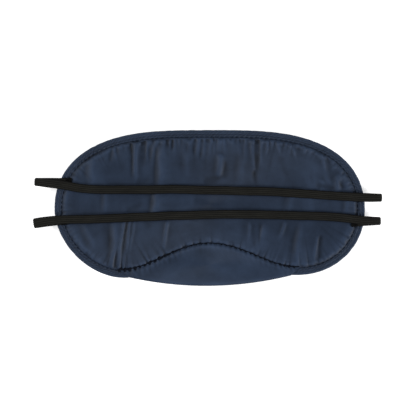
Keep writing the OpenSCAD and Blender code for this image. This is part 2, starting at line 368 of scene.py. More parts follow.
class Maker:
    """A new material, with short ways to add and link its shader nodes."""

    def __init__(self, name):
        self.material = bpy.data.materials.new(name)
        self.material.use_nodes = True
        self.nodes = self.material.node_tree.nodes
        self.nodes.clear()
        self.shader = self.put("BsdfPrincipled")
        self.put("OutputMaterial", Surface=self.shader.outputs[0])

    def give(self, socket, value):
        """Links another node's output to an input socket, or sets the socket's value."""
        if isinstance(value, bpy.types.NodeSocket):
            self.material.node_tree.links.new(value, socket)
        else:
            socket.default_value = value

    def fill(self, node, values):
        for name, value in values.items():
            self.give(node.inputs[name.replace("_", " ")], value)

    def put(self, kind, **values):
        """A node. A name with a capital is an input socket; any other is a property."""
        node = self.nodes.new("ShaderNode" + kind)
        settle(node, **{name: value for name, value in values.items() if name.islower()})
        self.fill(node, {name: value for name, value in values.items() if not name.islower()})
        return node

    def surface(self, **values):
        """Fills the main shader's sockets, and gives back the finished material."""
        self.fill(self.shader, values)
        return self.material

    def cloth(self):
        return self.put("Attribute", attribute_name="cloth_mm").outputs["Vector"]

    def parts(self, vector):
        return self.put("SeparateXYZ", Vector=vector).outputs

    def scaled(self, source, scale, turn=0.0):
        return self.put("Mapping", Vector=source, Scale=scale, Rotation=(0, 0, turn)).outputs[0]

    def noise(self, source, scale, detail, rough):
        node = self.put("TexNoise", Vector=source, Scale=scale, Detail=detail, Roughness=rough)
        return node.outputs["Fac"]

    def wave(self, source, scale, axis, distortion):
        node = self.put("TexWave", bands_direction=axis, Vector=source, Scale=scale, Detail=1.0)
        self.give(node.inputs["Distortion"], distortion)
        return node.outputs["Fac"]

    def maths(self, how, a, b):
        node = self.put("Math", operation=how)
        self.give(node.inputs[0], a)
        self.give(node.inputs[1], b)
        return node.outputs[0]

    def add(self, a, b):
        return self.maths("ADD", a, b)

    def times(self, a, b):
        return self.maths("MULTIPLY", a, b)

    def ramp(self, source, low, high, stops=(0.0, 1.0)):
        """A colour ramp from low to high, both linear RGB."""
        node = self.put("ValToRGB", Fac=source)
        for end, colour, stop in zip(node.color_ramp.elements, (low, high), stops):
            end.color = (*colour, 1)
            end.position = stop
        return node.outputs["Color"]

    def spread(self, source, low, high):
        """A value from 0 to 1 spread over another range."""
        return self.put("MapRange", Value=source, To_Min=low, To_Max=high).outputs[0]

    def bump(self, height, strength, depth_mm, **under):
        node = self.put("Bump", Height=height, Strength=strength, Distance=depth_mm * MM, **under)
        return node.outputs[0]


def shade(colour, by):
    return tuple(c * by for c in colour)


def satin(name, colour, twill=False):
    """Filament satin: fine threads, faint slubs along the warp, clouds, painted shade in its hollows and
    painted light on its crowns.

    The twill one is the binding tape's, with painted light that makes it paler towards its folded edge
    and painted shade that makes it darker further in.
    """
    make = Maker(name)
    cloth = make.cloth()
    cloud = make.noise(make.scaled(cloth, (0.05, 0.03, 0.05)), 1.0, 4.0, 0.55)
    streak = make.noise(make.scaled(cloth, (1.6, 0.16, 1.0)), 1.0, 3.0, 0.6)
    tone = make.add(make.times(cloud, 0.85), make.times(streak, 0.15))
    if twill:
        dashes = make.wave(make.scaled(cloth, (1, 1, 1), 0.9), 0.21, "X", 7.0)
        specks = make.noise(make.scaled(cloth, (0.75, 0.9, 1.0)), 1.0, 2.0, 0.5)
        # Painted shade and light in bands along the tape, standing in for its lengthwise folds.
        painted_crease_shade = make.times(make.wave(cloth, 0.19, "Y", 2.5), 0.9)
        dashes = make.add(dashes, make.spread(specks, -0.9, 1.3))
        tone = make.add(make.times(tone, 0.62), make.times(make.add(dashes, painted_crease_shade), 0.25))
        # Painted light and shade across the tape: paler at its folded outer edge, darker towards its
        # stitched inner edge.
        inward = make.maths("MODULO", make.parts(cloth)[1], UNDERSIDE_MARK)
        painted_edge_light = make.spread(make.maths("DIVIDE", inward, 4.5), 0.19, -0.15)
        tone = make.add(tone, painted_edge_light)
    # Painted shade and light: darker where the cloth lies below the cloth around it, lighter where it
    # stands above it.
    hollow = make.put("Attribute", attribute_name="hollow_mm").outputs["Fac"]
    tone = make.maths("SUBTRACT", tone, make.times(hollow, 1.1))
    tint = make.ramp(tone, shade(colour, 0.35), shade(colour, 1.75), (0.08, 0.92))
    slant, pitch = (0.78, 0.55) if twill else (0.0, 1.1)
    threads = make.wave(make.scaled(cloth, (1, 1, 1), slant), pitch, "X", 0.6)
    picks = make.wave(cloth, 0.8, "Y", 0.8)
    weave = make.add(threads, make.times(picks, 0.45))
    first = make.bump(weave, 0.35 if twill else 0.16, 0.05)
    return make.surface(
        Base_Color=tint, Roughness=make.spread(streak, 0.44, 0.58),
        Normal=make.bump(streak, 0.06, 0.12, Normal=first), Specular_IOR_Level=0.16,
        Anisotropic=0.45, Sheen_Weight=0.02, Sheen_Roughness=0.45, Sheen_Tint=(0.55, 0.65, 0.9, 1),
    )


def elastic(name, groove, ridge):
    """Ribbed knitted elastic: the third mark says how far up a rib the point is, and the colour is
    painted from it: shade in the grooves and on the edges, light on the rib tops.
    """
    make = Maker(name)
    cloth = make.cloth()
    courses = make.wave(make.scaled(cloth, (1.0, 0.35, 1.0)), 0.5, "X", 1.2)
    fuzz = make.noise(make.scaled(cloth, (0.5, 2.4, 1.0)), 1.0, 4.0, 0.65)
    patch = make.noise(make.scaled(cloth, (0.09, 0.55, 1.0)), 1.0, 3.0, 0.6)
    # Painted shade: dark in the grooves and at the edges, light on the rib tops.
    tone = make.times(make.parts(cloth)[2], make.spread(fuzz, 0.4, 1.35))
    tone = make.times(tone, make.spread(patch, 0.25, 1.75))
    first = make.bump(courses, 0.5, 0.12)
    return make.surface(
        Base_Color=make.ramp(tone, groove, ridge, (0.05, 1.0)),
        Roughness=make.spread(fuzz, 0.62, 0.86), Normal=make.bump(fuzz, 0.35, 0.1, Normal=first),
        Specular_IOR_Level=0.12,
    )


def sewing_thread(name, colour):
    """Twisted polyester thread."""
    make = Maker(name)
    cloth = make.cloth()
    twist = make.wave(make.scaled(cloth, (1, 1, 1), 0.7), 2.2, "X", 0.2)
    tint = make.ramp(twist, shade(colour, 0.6), shade(colour, 1.5))
    relief = make.bump(twist, 0.5, 0.06)
    return make.surface(Base_Color=tint, Normal=relief, Roughness=0.75, Specular_IOR_Level=0.06)


def foam(name, colour):
    """Open-cell foam."""
    make = Maker(name)
    pores = make.put("TexVoronoi", Vector=make.cloth(), Scale=1.4).outputs["Distance"]
    tint = make.ramp(pores, shade(colour, 0.7), colour)
    return make.surface(Base_Color=tint, Normal=make.bump(pores, 0.5, 0.3), Roughness=0.95)


def lining_cloth(name, colour):
    """Matt plain-weave lining."""
    make = Maker(name)
    place = make.cloth()
    weave = make.times(make.wave(place, 0.9, "X", 0.4), make.wave(place, 0.9, "Y", 0.4))
    tint = make.ramp(weave, shade(colour, 0.6), shade(colour, 1.4))
    return make.surface(Base_Color=tint, Normal=make.bump(weave, 0.4, 0.08), Roughness=0.85)


def bare_rubber(name, colour):
    make = Maker(name)
    dust = make.noise(make.cloth(), 1.5, 3.0, 0.6)
    tint = make.ramp(dust, shade(colour, 0.8), colour)
    return make.surface(Base_Color=tint, Roughness=make.spread(dust, 0.5, 0.75))


NAVY = (0.0178, 0.0284, 0.0520)
LINING_SATIN = satin("gathered_satin", NAVY)
FRONT_SATIN = satin("front_satin", shade(NAVY, 0.95))
FLAP_SATIN = satin("flap_satin", shade(NAVY, 1.12))
BINDING_SATIN = satin("binding_satin", shade(NAVY, 0.84), twill=True)
ELASTIC = elastic("ribbed_elastic", (0.0016, 0.0016, 0.0015), (0.0158, 0.0156, 0.0130))
NAVY_THREAD = sewing_thread("navy_thread", (0.0038, 0.0054, 0.0096))
BINDING_THREAD = sewing_thread("binding_thread", (0.0085, 0.0128, 0.0230))
BLACK_THREAD = sewing_thread("black_thread", (0.004, 0.004, 0.004))
FOAM = foam("white_foam", (0.74, 0.73, 0.68))
LINER = lining_cloth("blackout_cloth", (0.012, 0.012, 0.014))
RUBBER = bare_rubber("rubber_thread", (0.42, 0.38, 0.32))


def finished(piece, material, slot_name, *nodes, body=BODY):
    """Gives a piece its material, the CAD nodes it stands for, and its body if it is rigid; slot_name is
    not used.
    """
    piece.data.materials.append(material)
    if nodes:
        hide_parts(*nodes)
    if body:
        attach(piece, body)


# ---- The padded panel ----

# Size of the mesh cells of the plies
LINING_CELL = 1.3
FRONT_CELL = 1.2
INNER_CELL = 2.0

# Folds of the lining: X and Y of where each starts and of where it fades out,
# its half width, and its height above the pad or, below 0, its depth as a crease
FOLDS = [
    (-49, 41, -48.6, 13, 1.7, 0.9), (-51.6, 40, -51.2, 17, 1, -0.7),
    (-43.3, 42.5, -43.9, 25, 1.1, -1.5), (-41, 41.5, -41.2, 27, 0.8, 0.5),
    (-35.2, 43, -38.2, 23, 1.4, 0.75), (-53.5, -5, -44.5, 0.8, 1.7, -0.7),
    (-47.5, 12.8, -39.5, 16.5, 1.7, -0.7), (-24.6, 43.5, -25.2, 34, 0.9, -0.8),
    (-27, 43.5, -27.4, 36, 0.8, -0.6), (-9.4, 43.5, -10.6, 31, 0.9, -0.7),
    (-5.3, 43.5, -6, 29, 0.9, -0.9), (-1.4, 43.5, -2.2, 31, 0.8, -0.7), (2.6, 43.5, 1.9, 32, 0.8, -0.6),
    (6.7, 31.5, 6.1, 14.5, 2.4, 0.9), (-3, 13.9, 9.2, 17.6, 1.7, -1),
    (28.3, 43.5, 28.7, 19.5, 1.1, 0.45), (31.2, 43.5, 31.3, 20, 1.2, -1.5),
    (33.8, 43, 33.4, 24, 1.1, 0.5), (29.6, 21, 30.3, 11.5, 1.1, -0.7),
    (38.9, 42.5, 37.3, 31.5, 1, 0.65), (44.2, 40.5, 45.9, 31.5, 0.8, 0.5),
    (54.4, 37.5, 58.8, 22, 1.1, 0.55), (57.6, 36, 61.8, 22, 1.3, -0.7),
    (73.6, 33.5, 75.9, 20, 1.1, 0.45), (85, 18, 84.2, 7, 2.1, 0.8), (49.8, -13, 45, -24, 1.2, 0.45),
    (70.7, -22, 68.1, -41, 1.1, 0.35), (73.2, -22, 71, -40, 1.4, -0.6),
    (-56.5, -13, -60, -40, 0.9, 0.5), (-54.6, -12.5, -58, -38, 0.8, -0.6),
    (-52.4, -12, -55.6, -37, 0.8, 0.5), (-49.7, -12.5, -52.6, -35, 0.7, 0.4),
    (-27.4, -12.5, -31, -31, 1.2, 0.7), (-43, -12, -38.5, -16.5, 1.7, -0.6),
    (-62.5, -44, -61, -30, 1.1, -1.1), (-64, 36, -66.5, 26, 1.3, -0.5), (-10, 1, 16, -1.5, 2.6, -0.5),
    (56, 20.5, 61.5, 13.5, 1.6, -0.7), (64, 27, 67.5, 14, 1.4, -0.7), (70, 19.5, 77.5, 12.5, 1.7, -0.7),
    (77, 30, 80.5, 13, 1.5, -0.6), (47, 30, 51.5, 17, 1.8, -0.5), (84, 15, 88.5, 9, 1.4, -0.5),
    (9.9, 16.6, 10.6, 28, 1.7, -0.6), (60.5, 32, 59, 4, 5.5, -0.7), (22.6, -14, 22, -25, 1.2, -0.35),
    (25.8, -13, 25.4, -26, 1, 0.35), (29, -15, 28.6, -29, 1.1, -0.45),
    (32.6, -14, 32.6, -31, 1.2, -0.5), (55, 12.4, 64, 11.4, 1.8, -0.8), (71, 11.4, 83, 10, 1.9, -0.8),
    (16, -14, 19, -26, 4.5, -0.6), (-14, -14, -16, -27, 4.5, -0.6),
]

# Steps of the lining, as X and Y of two ends, a width and a height: the lining rises across
# each line over its width, and then sinks back gently
STEPS = [
    (-34.2, 37, -33.8, 11, 6.5, 1.9), (-37, 7, -37.4, -8, 5, 1.3), (-80, 31, -79, 12, 6, 0.9),
    (-70, 12, -70.5, -6, 4, 0.6), (-64, -14, -65, -42, 5, 1.1), (-84, -14, -78, -30, 5, 0.7),
    (-18, 34, -16, 18, 5, 0.5), (61.5, 21, 59, 8, 5, 0.3), (73.5, 18, 71.5, 7, 4.5, 0.5),
    (88.5, 4, 88, -7, 3.5, 0.5), (20, 34, 18.5, 14, 6, 0.6), (52, 9, 50, -6, 6, 0.7),
    (34, -14, 30, -30, 4, 0.6), (58, -14, 55, -38, 5, 0.8),
]


def along_line(x, y, start, end):
    """How far each place lies along a line, as a share of it and in mm, and to the left of it.

    The line is made to waver a little, so that no fold is straight.
    """
    size = math.dist(start, end)
    way = ((end[0] - start[0]) / size, (end[1] - start[1]) / size)
    along = (x - start[0]) * way[0] + (y - start[1]) * way[1]
    aside = (y - start[1]) * way[0] - (x - start[0]) * way[1] - 0.35 * np.sin(along / 4 + start[0])
    return along / size, along, aside


def fold_height(x, y):
    """The single folds: each a ridge, or a crease with a sharper bottom, along a short line."""
    total = np.zeros_like(x)
    for *ends, width, height in FOLDS:
        share, along, aside = along_line(x, y, ends[:2], ends[2:])
        fade = smooth(along / 4 + 0.5) * (1 - smooth((share - 0.4) / 0.75))
        away = np.abs(aside / width)
        by, power = (1.1, 2) if height > 0 else (1.3, 1.4)
        total += by * height * fade * np.exp(-away ** power)
    return total


def step_height(x, y):
    total = np.zeros_like(x)
    for *ends, width, height in STEPS:
        share, _, aside = along_line(x, y, ends[:2], ends[2:])
        fade = smooth((share + 0.25) / 0.6) * (1 - smooth((share - 0.65) / 0.6))
        back = np.exp(-np.clip(aside - width / 2, 0, None) / (1.8 * width))
        total += 1.3 * height * fade * smooth(aside / width + 0.5) * back
    return total


GATHER_PITCH = 2.1


def gather_height(depth, along):
    """Small gathers at the seam, of random width, reach, height and lean."""
    rng = np.random.default_rng(11)
    total = np.zeros_like(depth)
    inward = depth - BINDING_W
    for near in np.arange(0, PERIMETER, GATHER_PITCH):
        place = near + rng.uniform(-1.2, 1.2)
        width = rng.uniform(0.6, 1.3)
        reach = rng.choice([2.5, 4, 6, 9], p=[0.35, 0.3, 0.22, 0.13]) * rng.uniform(0.7, 1.3)
        height = rng.uniform(-1.05, 0.4)
        width *= 1.0 if height > 0 else 0.75
        lean = rng.uniform(-0.2, 0.2)
        gap = (along - place - lean * inward + PERIMETER / 2) % PERIMETER - PERIMETER / 2
        fade = np.exp(-np.clip(inward, 0, None) / reach)
        total += height * fade * np.exp(-(gap / (width * (1 + 0.06 * inward))) ** 2)
    return total


def stitch_dips(depth, along):
    """The dip that each stitch pulls into the cloth beside the seam."""
    beat = 0.5 + 0.5 * np.cos(2 * np.pi * along / STITCH_PITCH)
    return 0.35 * beat * np.exp(-np.clip(depth - BINDING_W, 0, None) / 1.6)


def puffed(depth):
    """Height of the lining where it lies smoothly over the pad."""
    inward = depth - RIM_FLAT
    share = np.interp(inward, [0, 1.6, 4.5, SLOPE_W + 2], [0, 0.5, 0.9, 1])
    return COVER_RIM + (COVER_TOP - COVER_RIM) * share


def seam_pull(x):
    """1 where the seam runs across the folds, as at the brow and the arch, less at the sides."""
    return 0.35 + 0.65 * smooth((85 - np.abs(x)) / 30)


def lining_relief(points, depth):
    """Broad soft swells of the satin over the smooth pad."""
    x, y = points[:, 0], points[:, 1]
    bands = 0.3 * wave_noise(x, y, 3, 34, 80, 2) + 0.16 * wave_noise(x, y, 8, 16, 34, 2)
    clouds = 0.36 * wave_noise(x, y, 21, 34, 26, 2)
    return smooth((depth - BINDING_W) / 7) * (bands + clouds)


# How high the lining may rise, which is less under a strap, and how softly it stops there
UNDER_STRAP = RUN_Z - STRAP_T / 2 - 0.15
LINING_HIGH = 6.5
SOFT_STOP = 0.5
# A crease never brings the lining down to the plies below: below this lift it flattens out
LEAST_LIFT = 0.3


def lining_limit(x, y):
    away = np.full_like(x, 99.0)
    for route in ROUTES.values():
        route_x, route_y = np.transpose(route)
        away = np.minimum(away, np.abs(y - np.interp(x, route_x, route_y)))
    return UNDER_STRAP + (LINING_HIGH - UNDER_STRAP) * smooth((away - STRAP_W / 2 - 0.8) / 6)


# The satin is cut wider than the panel by this factor, and gathered into the seam
EASE = 1.02
# The pad below it reaches a little past it
PAD_SPARE = 1.03
# The cloth is simulated this many times life size, because the solver suits larger objects
CLOTH_SCALE = 10.0
GATHER_FRAMES = 20
LAST_FRAME = 45


def point_array(mesh, scale=MM):
    flat = np.empty(3 * len(mesh.vertices))
    mesh.vertices.foreach_get("co", flat)
    return flat.reshape(-1, 3) / scale


def evaluated(thing):
    return thing.evaluated_get(bpy.context.evaluated_depsgraph_get())


def gather_by_cloth(points, faces, height, pad_height, pinned):
    """Satin cut too wide for the panel: its seam draws in, and the cloth between buckles into folds."""
    scale = MM * CLOTH_SCALE
    sewn = np.column_stack([points, height])
    cut = sewn * (EASE, 1, 1)
    under = np.column_stack([points * PAD_SPARE, pad_height])
    pad = plain_object("pad_for_cloth", under, faces, scale)
    pad.modifiers.new("Collision", "COLLISION")
    settle(pad.collision, thickness_outer=0.001, cloth_friction=2.0)
    cloth = plain_object("cloth", cut, faces, scale)
    cloth.shape_key_add(name="cut")
    key = cloth.shape_key_add(name="sewn")
    key.data.foreach_set("co", (sewn * scale).ravel())
    for value, when in ((0.0, 1), (1.0, GATHER_FRAMES)):
        key.value = value
        key.keyframe_insert("value", frame=when)
    group = cloth.vertex_groups.new(name="seam")
    group.add(np.flatnonzero(pinned).tolist(), 1.0, "REPLACE")
    modifier = cloth.modifiers.new("Cloth", "CLOTH")
    settle(
        modifier.settings, quality=6, mass=0.15, tension_stiffness=20, compression_stiffness=20,
        shear_stiffness=4, bending_stiffness=0.5, tension_damping=1, compression_damping=1,
        shear_damping=1, bending_damping=0.2, air_damping=1, vertex_group_mass="seam",
    )
    modifier.settings.effector_weights.gravity = 0.3
    settle(modifier.collision_settings, distance_min=0.001, use_self_collision=False)
    modifier.point_cache.frame_end = LAST_FRAME
    for frame_number in range(1, LAST_FRAME + 1):
        bpy.context.scene.frame_set(frame_number)
    result = point_array(evaluated(cloth).data, scale)
    for thing in (cloth, pad):
        mesh = thing.data
        bpy.data.objects.remove(thing)
        bpy.data.meshes.remove(mesh)
    bpy.context.scene.frame_set(1)
    return result


def applied(piece):
    """Makes a piece's modifiers part of its mesh."""
    mesh = bpy.data.meshes.new_from_object(evaluated(piece))
    old = piece.data
    piece.modifiers.clear()
    piece.data = mesh
    bpy.data.meshes.remove(old)


# Rounds of evening out: of the simulated cloth, and of the level that hollows are measured from
CLOTH_ROUNDS = 14
HOLLOW_ROUNDS = 36


def evened(points, faces, rounds):
    """Heights after each point has been drawn towards its neighbours a number of times."""
    pairs = np.array([(a, b) for f in faces for a, b in zip(f, f[1:] + f[:1])])
    z = points[:, 2].copy()
    count = np.bincount(pairs.ravel(), minlength=len(z))
    for _ in range(rounds):
        total = np.bincount(pairs[:, 0], z[pairs[:, 1]], len(z))
        total += np.bincount(pairs[:, 1], z[pairs[:, 0]], len(z))
        z = 0.4 * z + 0.6 * total / count
    return z


def mark_hollows(piece):
    """Notes at each point how far it lies below the cloth around it, which the satin uses to paint shade
    in hollows and light on crowns.
    """
    points = point_array(piece.data)
    faces = [list(face.vertices) for face in piece.data.polygons]
    hollow = np.clip(evened(points, faces, HOLLOW_ROUNDS) - points[:, 2], -0.25, 0.4)
    layer = piece.data.attributes.new("hollow_mm", "FLOAT", "POINT")
    layer.data.foreach_set("value", hollow.astype(np.float32))


def make_lining():
    """The lining: gathered by a cloth simulation, then given its folds, gathers and stitch dips."""
    points, faces = flat_plan(1.0, LINING_CELL)
    depth, _ = rim_place(points)
    base = puffed(depth)
    free = smooth((depth - BINDING_W + 0.2) / 1.4)
    seed = free * (0.85 + lining_relief(points, depth))
    seed = np.where(seed > 0, seed, seed * 0.3)
    height = base + seed + 0.3 * smooth(depth / 30)
    top = np.column_stack([points, height])
    top = gather_by_cloth(points, faces, height, base - 0.15, depth < BINDING_W - 0.1)
    inner = smooth((depth - RIM_FLAT - 1) / 4)
    top[:, 2] += inner * (evened(top, faces, CLOTH_ROUNDS) - top[:, 2])
    marks = np.column_stack([points, depth])
    piece = new_piece("gathered_lining", top, faces, marks)
    piece.modifiers.new("Smooth", "SUBSURF").levels = 1
    applied(piece)
    top = point_array(piece.data)
    x, y = top[:, 0], top[:, 1]
    depth, along = rim_place(top)
    low = level(depth, COVER_RIM, COVER_TOP)
    free = smooth((depth - BINDING_W + 0.1) / 1.2)
    fine = seam_pull(x) * gather_height(depth, along) - stitch_dips(depth, along)
    fine += fold_height(x, y) + step_height(x, y)
    lift = top[:, 2] - low + free * fine
    z = low + np.where(lift > LEAST_LIFT, lift, LEAST_LIFT * np.exp(lift / LEAST_LIFT - 1))
    limit = lining_limit(x, y) - SOFT_STOP
    top[:, 2] = np.where(z > limit, limit + SOFT_STOP * np.tanh((z - limit) / SOFT_STOP), z)
    piece.data.vertices.foreach_set("co", (top * MM).ravel())
    mark_hollows(piece)
    settle(piece.modifiers.new("Ply", "SOLIDIFY"), thickness=PLY_T * MM, offset=-1)
    applied(piece)
    finished(piece, LINING_SATIN, "satin_lining", "back_cover")


def make_front_cover():
    """The plain side: smooth satin with a slight pucker along the binding."""
    points, faces = flat_plan(1.0, FRONT_CELL)
    depth, along = rim_place(points)
    low = level(depth, FRONT_RIM, FRONT_LOW)
    pucker = 0.22 * np.sin(2 * np.pi * along / STITCH_PITCH + 2 * wave_noise(along, along, 5, 40, 40, 2))
    pucker = pucker * np.exp(-np.abs(depth - RIM_FLAT - 1.5) / 2.5)
    soft = 0.25 * (1 + wave_noise(points[:, 0], points[:, 1], 31, 40, 46, 2)) * smooth((18 - depth) / 9)
    relief = np.clip(pucker, -0.2, 0.2) + soft * pad_share(depth)
    low = np.maximum(low + smooth((depth - BINDING_W) / 1.5) * relief, FRONT_LOW)
    piece = slab_piece("front_satin_cover", points, faces, low, low + PLY_T, depth)
    finished(piece, FRONT_SATIN, "satin_front", "front_cover")


def make_inner_plies():
    """The foam pad and the blackout sheet, both squeezed thin at the rim."""
    points, faces = flat_plan(1.2, INNER_CELL)
    depth, _ = rim_place(points)
    rim_foam = FRONT_RIM + PLY_T + AIR
    rim_liner = COVER_RIM - PLY_T - AIR - (LINER_HIGH - LINER_LOW) * 0.5
    foam_low = level(depth, rim_foam, FRONT_LOW + PLY_T + 0.3)
    foam_high = np.maximum(level(depth, rim_liner - 0.35, FOAM_HIGH), foam_low + 0.3)
    core = slab_piece("foam_core", points, faces, foam_low, foam_high, depth)
    finished(core, FOAM, "foam", "foam_pad")
    liner_low = level(depth, rim_liner - 0.2, LINER_LOW)
    liner_high = level(depth, rim_liner, LINER_HIGH)
    sheet = slab_piece("blackout_sheet", points, faces, liner_low, liner_high, depth)
    finished(sheet, LINER, "liner", "blackout_liner")


# ---- Edge binding and its stitches ----


def rounded(profile, rounds, cut=0.22):
    """A closed profile with its corners cut to curves by repeated corner cutting."""
    p = np.array(profile, float)
    for _ in range(rounds):
        ahead = np.roll(p, -1, axis=0)
        p = np.stack([(1 - cut) * p + cut * ahead, cut * p + (1 - cut) * ahead], axis=1).reshape(-1, 2)
    return p


def under_flap(points, spare=0.0):
    return (np.abs(points[:, 0]) < FLAP_HALF_W + spare) & (points[:, 1] < WAIST_Y)


def make_binding():
    """A tape folded round the rim, creased along its middle and rippled by its stitches."""
    low, high, t, w = RIM_LOW[2], RIM_HIGH[2], BINDING_T, BINDING_W
    # Distance in from the outline, and height
    profile = rounded([
        (0.25, low), (w * 0.5, low), (w, low + 0.05), (w, low + t), (t, low + t), (t, high - t),
        (w, high - t), (w, high - 0.1), (w - 0.5, high - 0.16), (w - 1.1, high + 0.08),
        (3.3, high + 0.14), (2.7, high - 0.12), (2.3, high - 0.12), (1.8, high + 0.12),
        (0.9, high + 0.06), (0.2, high - 0.2), (0.0, high - 0.7), (0.0, low + 0.6),
    ], 2)
    count = 1080
    ring = even(OUTLINE, count, True)
    inward = left_normals(ring)
    s = np.arange(count) * PERIMETER / count
    ripple = np.sin(2 * np.pi * s / STITCH_PITCH + 1.2 * wave_noise(s, s, 2, 35, 35, 2))
    drift = wave_noise(s, s, 9, 14, 14, 4)
    pull = 1 + 0.5 * wave_noise(s, s, 12, 50, 50, 2)
    cover = under_flap(ring)
    rings = np.empty((count, len(profile), 3))
    marks = np.empty_like(rings)
    for j, (d, z) in enumerate(profile):
        top = smooth((z - (low + high) / 2) / 0.8)
        skin = 1.0 if (z > high - 0.7 * t or z < low + 0.7 * t) else 0.0
        inner = smooth((d - 2.6) / 2.6)
        dip = np.exp(-((d - STITCH_INSET) / 0.55) ** 2)
        wander = 0.16 * drift * smooth(d / 1.5) * (1 - inner)
        rise = skin * (0.24 * pull * ripple * inner - 0.22 * dip + wander)
        rise = np.where(cover & (top > 0.5), np.minimum(rise, 0.0), rise) * (2 * top - 1)
        edge = 0.22 * ripple * smooth((d - w + 0.8) / 0.6) + 0.12 * drift * (1 - smooth(d / 2))
        rings[:, j, :2] = ring + inward * np.clip(d + edge, 0.0, None)[:, None]
        rings[:, j, 2] = z + rise
        marks[:, j, 0] = s
        marks[:, j, 1:] = d + (0 if top > 0.5 else UNDERSIDE_MARK), z
    verts, faces = tube(rings, closed=True)
    piece = new_piece("satin_edge_binding", verts, faces, marks.reshape(-1, 3))
    finished(piece, BINDING_SATIN, "binding_satin", "edge_binding")


def stitch(place, way, z, length, width, height, up=1.0, sides=6, steps=6):
    """One stitch: a short thread whose ends go down into the cloth, or up into it if up is -1."""
    t = np.linspace(-1, 1, steps + 1)
    side = left(way)
    turn = np.linspace(0, 2 * np.pi, sides, endpoint=False)
    rings = np.empty((steps + 1, sides, 3))
    for i, u in enumerate(t):
        thick = 0.55 + 0.45 * math.sqrt(max(0.0, 1 - u ** 4))
        centre = place + way * u * length / 2
        arch = z + up * height * (0.5 - 0.9 * u ** 4)
        rings[i, :, :2] = centre + np.outer(np.cos(turn) * width / 2 * thick, side)
        rings[i, :, 2] = arch + up * np.sin(turn) * height / 2 * thick
    if up < 0:
        rings = rings[:, ::-1]
    verts, faces = tube(rings)
    marks = verts.copy()
    marks[:, :2] = (verts[:, :2] - place) @ np.stack([way, side], axis=1)
    return verts, faces, marks


def evenly(line, pitch, closed):
    """Middle points and directions, one for each stitch along a line."""
    size = np.linalg.norm(np.diff(line, axis=0), axis=1).sum()
    count = max(2, int(round(size / pitch)))
    per = 8
    fine = even(line, count * per + (0 if closed else 1), closed)
    ahead = np.roll(fine, -1, axis=0) - np.roll(fine, 1, axis=0)
    middle, ahead = (points[per // 2::per][:count] for points in (fine, ahead))
    return middle, unit(ahead)


def make_binding_stitches():
    """A row on each side of the rim; the flap covers the upper row along the arch."""
    places, ways = evenly(inset(STITCH_INSET), STITCH_PITCH, True)
    open_side = ~under_flap(places)
    rng = np.random.default_rng(4)
    parts = []
    for place, way, shown in zip(places, ways, open_side):
        way = unit(way + rng.normal(0, 0.05) * left(way))
        if shown:
            parts.append(stitch(place, way, RIM_HIGH[2] - 0.14, 2.8, 0.36, 0.3))
        parts.append(stitch(place, way, RIM_LOW[2] + 0.12, 2.3, 0.42, 0.3, up=-1.0))
    piece = new_piece("binding_seam_stitches", *joined(parts))
    finished(piece, BINDING_THREAD, "thread_navy", "binding_stitches")


# ---- Nose flap: a lined, lightly wadded leaf sewn along the arch ----

# The binding's inner edge along the arch, which the flap is sewn to
SEAM = inset(BINDING_W - 0.1)
SEAM = SEAM[under_flap(SEAM, 4)]
SEAM = SEAM[np.argsort(SEAM[:, 0])]


def seam_y(x):
    return np.interp(x, SEAM[:, 0], SEAM[:, 1])


def flap_edge_y(x):
    return -FLAP_DROP + FLAP_EDGE_R - np.sqrt(FLAP_EDGE_R ** 2 - (x + FLAP_SKEW) ** 2)


FLAP_CORNER_X = 53.5
# Half the flap's thickness at its edge
EDGE_HALF = 0.16


def flap_low_y(x):
    """The flap's lower edge, and its slanted ends that run up to the seam."""
    side = np.abs(x)
    corner = flap_edge_y(np.sign(x) * FLAP_CORNER_X)
    share = np.clip((side - FLAP_CORNER_X) / (FLAP_HALF_W - FLAP_CORNER_X), 0, 1)
    slant = corner + (seam_y(np.sign(x) * FLAP_HALF_W) - 0.5 - corner) * share
    return np.where(side < FLAP_CORNER_X, flap_edge_y(x), slant)


def seam_weight(x):
    """How hard the flap's seam is drawn up: more towards its two ends, and most at the left."""
    return 0.55 + np.where(x < -3, 1.0, 0.3) * smooth((np.abs(x + 3) - 8) / 22)


